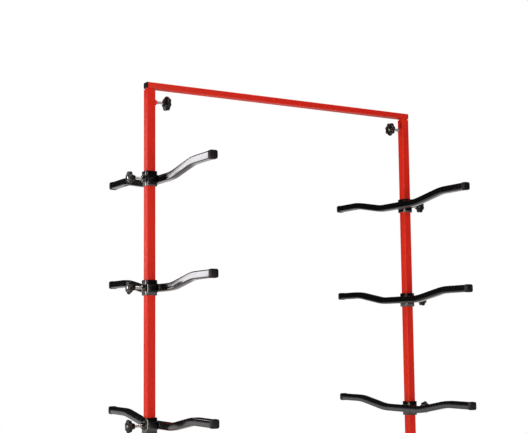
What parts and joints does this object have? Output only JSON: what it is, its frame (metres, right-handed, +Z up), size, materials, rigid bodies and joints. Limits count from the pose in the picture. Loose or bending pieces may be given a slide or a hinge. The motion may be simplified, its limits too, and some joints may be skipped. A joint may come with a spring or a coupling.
{
  "type": "free-standing ski rack",
  "caption": "Free-standing ski and board rack: two square uprights, a lifting crossbar, and sliding collars with S-bent arms front and back, each locked by a knob screw.",
  "frame": {"origin": "on the floor, under the middle of the rack", "axes": "+X along the crossbar from the left upright to the right one, +Y towards the back arms, +Z up"},
  "size_m": [1.218, 0.8, 1.96],
  "materials": {
    "red_paint": "semi-gloss",
    "black_paint": "gloss",
    "black_plastic": "satin",
    "cap_vinyl": "satin",
    "zinc": "bright zinc",
    "rubber": "matt"
  },
  "bodies": {
    "frame": {"tie_bar": "red_paint", "post_left": "red_paint", "top_nut_left": "red_paint", "foot_left": "red_paint", "foot_plug_left_front": "black_plastic", "foot_pad_left_front": "rubber", "foot_plug_left_back": "black_plastic", "foot_pad_left_back": "rubber", "post_right": "red_paint", "top_nut_right": "red_paint", "foot_right": "red_paint", "foot_plug_right_front": "black_plastic", "foot_pad_right_front": "rubber", "foot_plug_right_back": "black_plastic", "foot_pad_right_back": "rubber"},
    "crossbar_lift": {"crossbar": "red_paint", "crossbar_plug_left": "black_plastic", "inner_leg_left": "red_paint", "crossbar_plug_right": "black_plastic", "inner_leg_right": "red_paint"},
    "top_clamp_left_screw": {"top_stud_left": "zinc"},
    "top_clamp_left_handle": {"top_knob_left": "black_plastic"},
    "arm_pair_left_top": {"collar_left_top": "black_paint", "arm_left_top": "black_paint", "arm_cap_left_top_front": "cap_vinyl", "arm_cap_left_top_back": "cap_vinyl"},
    "clamp_left_top_screw": {"clamp_stud_left_top": "zinc"},
    "clamp_left_top_handle": {"clamp_knob_left_top": "black_plastic"},
    "arm_pair_left_middle": {"collar_left_middle": "black_paint", "arm_left_middle": "black_paint", "arm_cap_left_middle_front": "cap_vinyl", "arm_cap_left_middle_back": "cap_vinyl"},
    "clamp_left_middle_screw": {"clamp_stud_left_middle": "zinc"},
    "clamp_left_middle_handle": {"clamp_knob_left_middle": "black_plastic"},
    "arm_pair_left_bottom": {"collar_left_bottom": "black_paint", "arm_left_bottom": "black_paint", "arm_cap_left_bottom_front": "cap_vinyl", "arm_cap_left_bottom_back": "cap_vinyl"},
    "clamp_left_bottom_screw": {"clamp_stud_left_bottom": "zinc"},
    "clamp_left_bottom_handle": {"clamp_knob_left_bottom": "black_plastic"},
    "top_clamp_right_screw": {"top_stud_right": "zinc"},
    "top_clamp_right_handle": {"top_knob_right": "black_plastic"},
    "arm_pair_right_top": {"collar_right_top": "black_paint", "arm_right_top": "black_paint", "arm_cap_right_top_front": "cap_vinyl", "arm_cap_right_top_back": "cap_vinyl"},
    "clamp_right_top_screw": {"clamp_stud_right_top": "zinc"},
    "clamp_right_top_handle": {"clamp_knob_right_top": "black_plastic"},
    "arm_pair_right_middle": {"collar_right_middle": "black_paint", "arm_right_middle": "black_paint", "arm_cap_right_middle_front": "cap_vinyl", "arm_cap_right_middle_back": "cap_vinyl"},
    "clamp_right_middle_screw": {"clamp_stud_right_middle": "zinc"},
    "clamp_right_middle_handle": {"clamp_knob_right_middle": "black_plastic"},
    "arm_pair_right_bottom": {"collar_right_bottom": "black_paint", "arm_right_bottom": "black_paint", "arm_cap_right_bottom_front": "cap_vinyl", "arm_cap_right_bottom_back": "cap_vinyl"},
    "clamp_right_bottom_screw": {"clamp_stud_right_bottom": "zinc"},
    "clamp_right_bottom_handle": {"clamp_knob_right_bottom": "black_plastic"}
  },
  "joints": [
    {"name": "crossbar_height", "type": "slide", "parent": "frame", "child": "crossbar_lift", "axis": [0, 0, 1], "range_m": [-0.002, 0.12]},
    {"name": "top_clamp_left_travel", "type": "slide", "parent": "frame", "child": "top_clamp_left_screw", "axis": [1, 0, 0], "range_m": [0, 0.003]},
    {"name": "top_clamp_left_turn", "type": "hinge", "parent": "top_clamp_left_screw", "child": "top_clamp_left_handle", "pos_m": [-0.471, 0, 1.896], "axis": [1, 0, 0], "range_deg": [0, 720]},
    {"name": "arm_pair_left_top_height", "type": "slide", "parent": "frame", "child": "arm_pair_left_top", "axis": [0, 0, 1], "range_m": [-0.1, 0.1]},
    {"name": "clamp_left_top_travel", "type": "slide", "parent": "arm_pair_left_top", "child": "clamp_left_top_screw", "axis": [-1, 0, 0], "range_m": [0, 0.003]},
    {"name": "clamp_left_top_turn", "type": "hinge", "parent": "clamp_left_top_screw", "child": "clamp_left_top_handle", "pos_m": [-0.601, 0, 1.638], "axis": [-1, 0, 0], "range_deg": [0, 720]},
    {"name": "arm_pair_left_middle_height", "type": "slide", "parent": "frame", "child": "arm_pair_left_middle", "axis": [0, 0, 1], "range_m": [-0.15, 0.1]},
    {"name": "clamp_left_middle_travel", "type": "slide", "parent": "arm_pair_left_middle", "child": "clamp_left_middle_screw", "axis": [-1, 0, 0], "range_m": [0, 0.003]},
    {"name": "clamp_left_middle_turn", "type": "hinge", "parent": "clamp_left_middle_screw", "child": "clamp_left_middle_handle", "pos_m": [-0.601, 0, 1.281], "axis": [-1, 0, 0], "range_deg": [0, 720]},
    {"name": "arm_pair_left_bottom_height", "type": "slide", "parent": "frame", "child": "arm_pair_left_bottom", "axis": [0, 0, 1], "range_m": [-0.25, 0.15]},
    {"name": "clamp_left_bottom_travel", "type": "slide", "parent": "arm_pair_left_bottom", "child": "clamp_left_bottom_screw", "axis": [-1, 0, 0], "range_m": [0, 0.003]},
    {"name": "clamp_left_bottom_turn", "type": "hinge", "parent": "clamp_left_bottom_screw", "child": "clamp_left_bottom_handle", "pos_m": [-0.601, 0, 0.84], "axis": [-1, 0, 0], "range_deg": [0, 720]},
    {"name": "top_clamp_right_travel", "type": "slide", "parent": "frame", "child": "top_clamp_right_screw", "axis": [-1, 0, 0], "range_m": [0, 0.003]},
    {"name": "top_clamp_right_turn", "type": "hinge", "parent": "top_clamp_right_screw", "child": "top_clamp_right_handle", "pos_m": [0.471, 0, 1.896], "axis": [-1, 0, 0], "range_deg": [0, 720]},
    {"name": "arm_pair_right_top_height", "type": "slide", "parent": "frame", "child": "arm_pair_right_top", "axis": [0, 0, 1], "range_m": [-0.1, 0.1]},
    {"name": "clamp_right_top_travel", "type": "slide", "parent": "arm_pair_right_top", "child": "clamp_right_top_screw", "axis": [1, 0, 0], "range_m": [0, 0.003]},
    {"name": "clamp_right_top_turn", "type": "hinge", "parent": "clamp_right_top_screw", "child": "clamp_right_top_handle", "pos_m": [0.601, 0, 1.606], "axis": [1, 0, 0], "range_deg": [0, 720]},
    {"name": "arm_pair_right_middle_height", "type": "slide", "parent": "frame", "child": "arm_pair_right_middle", "axis": [0, 0, 1], "range_m": [-0.15, 0.1]},
    {"name": "clamp_right_middle_travel", "type": "slide", "parent": "arm_pair_right_middle", "child": "clamp_right_middle_screw", "axis": [1, 0, 0], "range_m": [0, 0.003]},
    {"name": "clamp_right_middle_turn", "type": "hinge", "parent": "clamp_right_middle_screw", "child": "clamp_right_middle_handle", "pos_m": [0.601, 0, 1.251], "axis": [1, 0, 0], "range_deg": [0, 720]},
    {"name": "arm_pair_right_bottom_height", "type": "slide", "parent": "frame", "child": "arm_pair_right_bottom", "axis": [0, 0, 1], "range_m": [-0.25, 0.15]},
    {"name": "clamp_right_bottom_travel", "type": "slide", "parent": "arm_pair_right_bottom", "child": "clamp_right_bottom_screw", "axis": [1, 0, 0], "range_m": [0, 0.003]},
    {"name": "clamp_right_bottom_turn", "type": "hinge", "parent": "clamp_right_bottom_screw", "child": "clamp_right_bottom_handle", "pos_m": [0.601, 0, 0.85], "axis": [1, 0, 0], "range_deg": [0, 720]}
  ],
  "couplings": [
    {"joint": "top_clamp_left_turn", "follows": "top_clamp_left_travel", "rad_per_m": 4188.8},
    {"joint": "clamp_left_top_turn", "follows": "clamp_left_top_travel", "rad_per_m": 4188.8},
    {"joint": "clamp_left_middle_turn", "follows": "clamp_left_middle_travel", "rad_per_m": 4188.8},
    {"joint": "clamp_left_bottom_turn", "follows": "clamp_left_bottom_travel", "rad_per_m": 4188.8},
    {"joint": "top_clamp_right_turn", "follows": "top_clamp_right_travel", "rad_per_m": 4188.8},
    {"joint": "clamp_right_top_turn", "follows": "clamp_right_top_travel", "rad_per_m": 4188.8},
    {"joint": "clamp_right_middle_turn", "follows": "clamp_right_middle_travel", "rad_per_m": 4188.8},
    {"joint": "clamp_right_bottom_turn", "follows": "clamp_right_bottom_travel", "rad_per_m": 4188.8}
  ]
}
